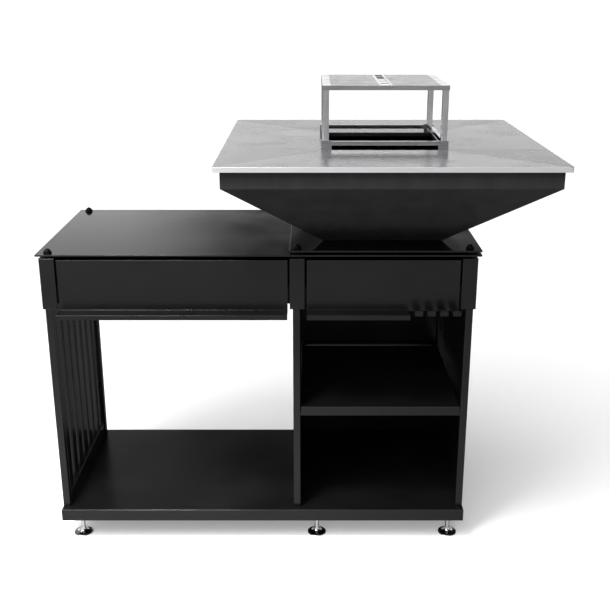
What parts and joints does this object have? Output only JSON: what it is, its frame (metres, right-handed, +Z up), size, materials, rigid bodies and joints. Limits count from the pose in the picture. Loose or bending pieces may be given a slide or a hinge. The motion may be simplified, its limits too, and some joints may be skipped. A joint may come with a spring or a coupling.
{
  "type": "fire bowl griddle station",
  "caption": "Solid-fuel griddle plate on a pyramid fire bowl with a grill stand, on a steel cabinet with a worktop, drawers, wood bay and shelf.",
  "frame": {"origin": "on the floor, below the middle of the whole object's bounding box", "axes": "+X to the right, towards the fire bowl; +Y to the back, away from the drawers; +Z up"},
  "size_m": [1.255, 0.8, 1.183],
  "materials": {
    "frame_black": "satin black powder coat",
    "drawer_black": "satin black powder coat",
    "top_black": "smooth semi-gloss black powder coat",
    "bowl_black": "heat-resistant semi-gloss black",
    "griddle_steel": "bare ground steel, mottled",
    "stand_steel": "brushed stainless",
    "foot_chrome": "polished plating",
    "zinc_plated": "bright zinc plating",
    "runner_black": "black electrophoretic coat",
    "nut_black": "gloss black"
  },
  "bodies": {
    "cabinet": {"back_panel": "frame_black", "base_pan": "frame_black", "bowl_plate": "top_black", "bowl_plate_spacers": "nut_black", "cap_nuts": "nut_black", "centre_beam": "frame_black", "fire_bowl": "bowl_black", "foot_bushes": "zinc_plated", "foot_lock_nuts": "zinc_plated", "left_beam": "frame_black", "left_bottom_rail": "frame_black", "left_front_post": "frame_black", "left_rear_apron": "frame_black", "left_rear_post": "frame_black", "left_runner_outer": "runner_black", "left_slat_1": "frame_black", "left_slat_2": "frame_black", "left_slat_3": "frame_black", "left_slat_4": "frame_black", "left_slat_5": "frame_black", "left_slat_6": "frame_black", "left_slat_7": "frame_black", "left_top_rail": "frame_black", "middle_front_post": "frame_black", "middle_panel": "frame_black", "middle_rear_post": "frame_black", "right_beam": "frame_black", "right_front_post": "frame_black", "right_panel": "frame_black", "right_rear_apron": "frame_black", "right_rear_post": "frame_black", "right_runner_outer": "runner_black", "shelf": "frame_black", "shelf_brackets": "frame_black", "studs": "zinc_plated", "worktop": "top_black", "worktop_spacers": "nut_black"},
    "left_drawer": {"left_drawer_front": "drawer_black", "left_drawer_box": "drawer_black", "left_runner_inner": "runner_black"},
    "left_runner": {"left_runner_middle": "runner_black"},
    "right_drawer": {"right_drawer_front": "drawer_black", "right_drawer_box": "drawer_black", "right_runner_inner": "runner_black"},
    "right_runner": {"right_runner_middle": "runner_black"},
    "griddle": {"griddle_plate": "griddle_steel"},
    "grill_stand": {"stand_top_plate": "stand_steel", "stand_leg_front_left": "stand_steel", "stand_leg_front_right": "stand_steel", "stand_leg_rear_left": "stand_steel", "stand_leg_rear_right": "stand_steel", "stand_rails": "stand_steel", "stand_feet": "stand_steel"},
    "foot_front_left": {"foot_front_left": "foot_chrome"},
    "foot_front_middle": {"foot_front_middle": "foot_chrome"},
    "foot_front_right": {"foot_front_right": "foot_chrome"},
    "foot_rear_left": {"foot_rear_left": "foot_chrome"},
    "foot_rear_middle": {"foot_rear_middle": "foot_chrome"},
    "foot_rear_right": {"foot_rear_right": "foot_chrome"}
  },
  "joints": [
    {"name": "left_drawer_slide", "type": "slide", "parent": "cabinet", "child": "left_drawer", "axis": [0, -1, 0], "range_m": [0, 0.36]},
    {"name": "left_runner_slide", "type": "slide", "parent": "cabinet", "child": "left_runner", "axis": [0, -1, 0], "range_m": [0, 0.18]},
    {"name": "right_drawer_slide", "type": "slide", "parent": "cabinet", "child": "right_drawer", "axis": [0, -1, 0], "range_m": [0, 0.36]},
    {"name": "right_runner_slide", "type": "slide", "parent": "cabinet", "child": "right_runner", "axis": [0, -1, 0], "range_m": [0, 0.18]},
    {"name": "griddle_lift", "type": "slide", "parent": "cabinet", "child": "griddle", "axis": [0, 0, 1], "range_m": [0, 0.3]},
    {"name": "grill_stand_lift", "type": "slide", "parent": "griddle", "child": "grill_stand", "axis": [0, 0, 1], "range_m": [0, 0.25]},
    {"name": "foot_front_left_screw", "type": "slide", "parent": "cabinet", "child": "foot_front_left", "axis": [0, 0, 1], "range_m": [-0.015, 0]},
    {"name": "foot_front_middle_screw", "type": "slide", "parent": "cabinet", "child": "foot_front_middle", "axis": [0, 0, 1], "range_m": [-0.015, 0]},
    {"name": "foot_front_right_screw", "type": "slide", "parent": "cabinet", "child": "foot_front_right", "axis": [0, 0, 1], "range_m": [-0.015, 0]},
    {"name": "foot_rear_left_screw", "type": "slide", "parent": "cabinet", "child": "foot_rear_left", "axis": [0, 0, 1], "range_m": [-0.015, 0]},
    {"name": "foot_rear_middle_screw", "type": "slide", "parent": "cabinet", "child": "foot_rear_middle", "axis": [0, 0, 1], "range_m": [-0.015, 0]},
    {"name": "foot_rear_right_screw", "type": "slide", "parent": "cabinet", "child": "foot_rear_right", "axis": [0, 0, 1], "range_m": [-0.015, 0]}
  ],
  "couplings": [
    {"joint": "left_runner_slide", "follows": "left_drawer_slide", "ratio": 0.5},
    {"joint": "right_runner_slide", "follows": "right_drawer_slide", "ratio": 0.5}
  ]
}
